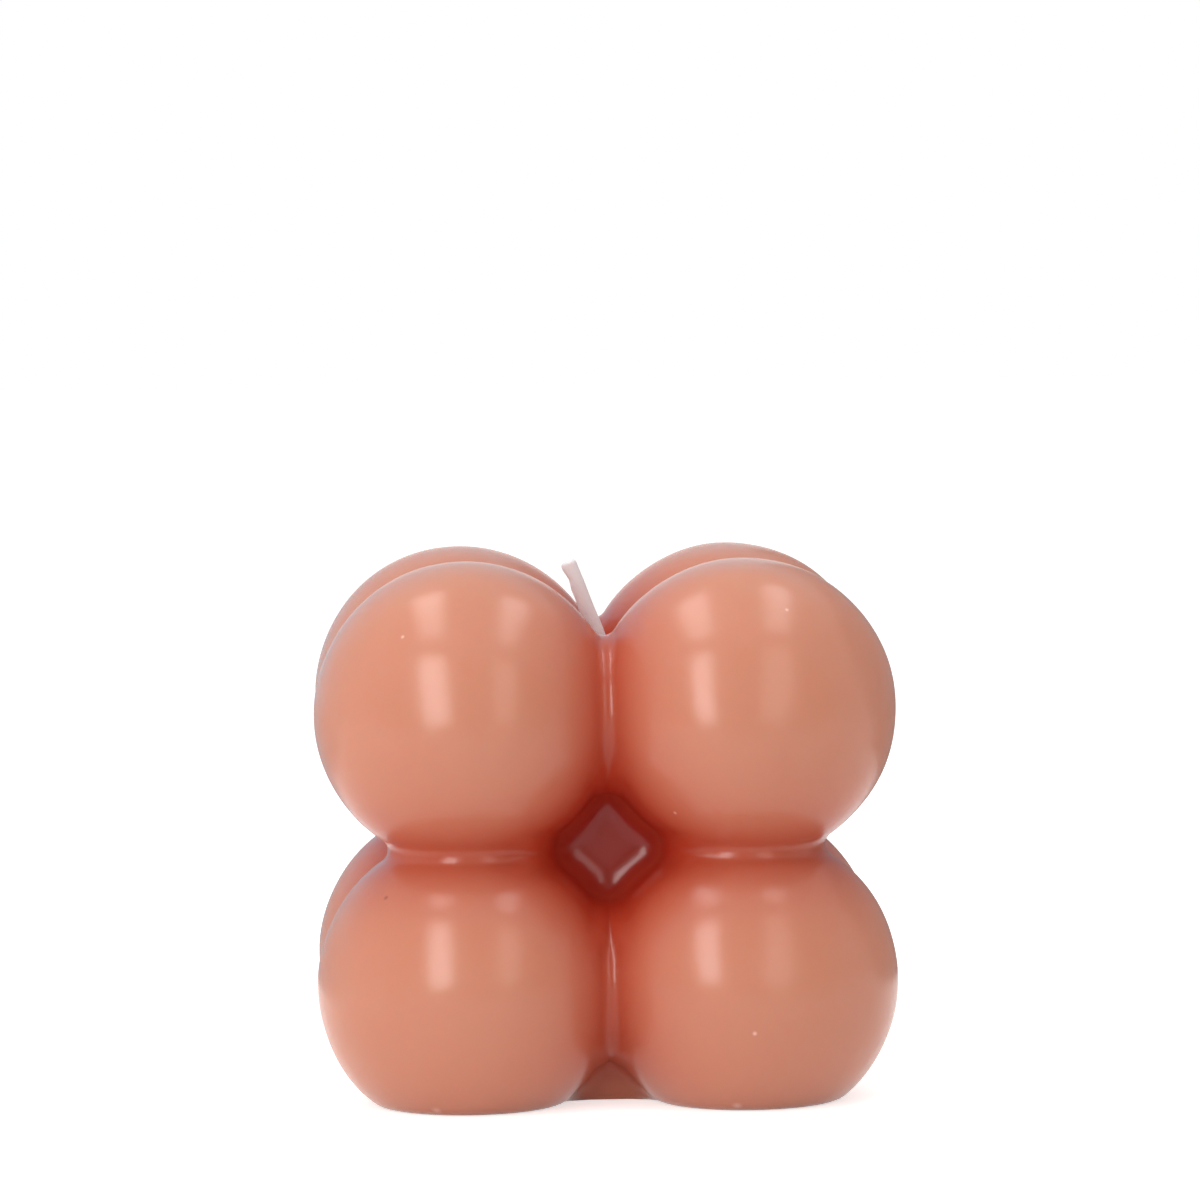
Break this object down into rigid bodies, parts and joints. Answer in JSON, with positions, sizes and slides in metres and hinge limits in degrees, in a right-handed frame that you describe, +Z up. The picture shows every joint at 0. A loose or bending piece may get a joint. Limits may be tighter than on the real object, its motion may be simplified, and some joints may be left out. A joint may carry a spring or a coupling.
{
  "type": "bubble cube candle",
  "caption": "Small decorative cube candle of fused round wax bubbles on a flat base, with a single cotton wick.",
  "frame": {"origin": "centre of the flat base, where the candle stands", "axes": "+Z up out of the wick's end, -Y towards the front face that the picture shows, +X to the right of it"},
  "size_m": [0.07, 0.07, 0.0654],
  "materials": {
    "wax": "smooth cast wax, semi-gloss and slightly translucent",
    "wick": "braided cotton soaked in pale wax"
  },
  "bodies": {
    "root": {"wax_body": "wax", "wick": "wick"}
  },
  "joints": []
}
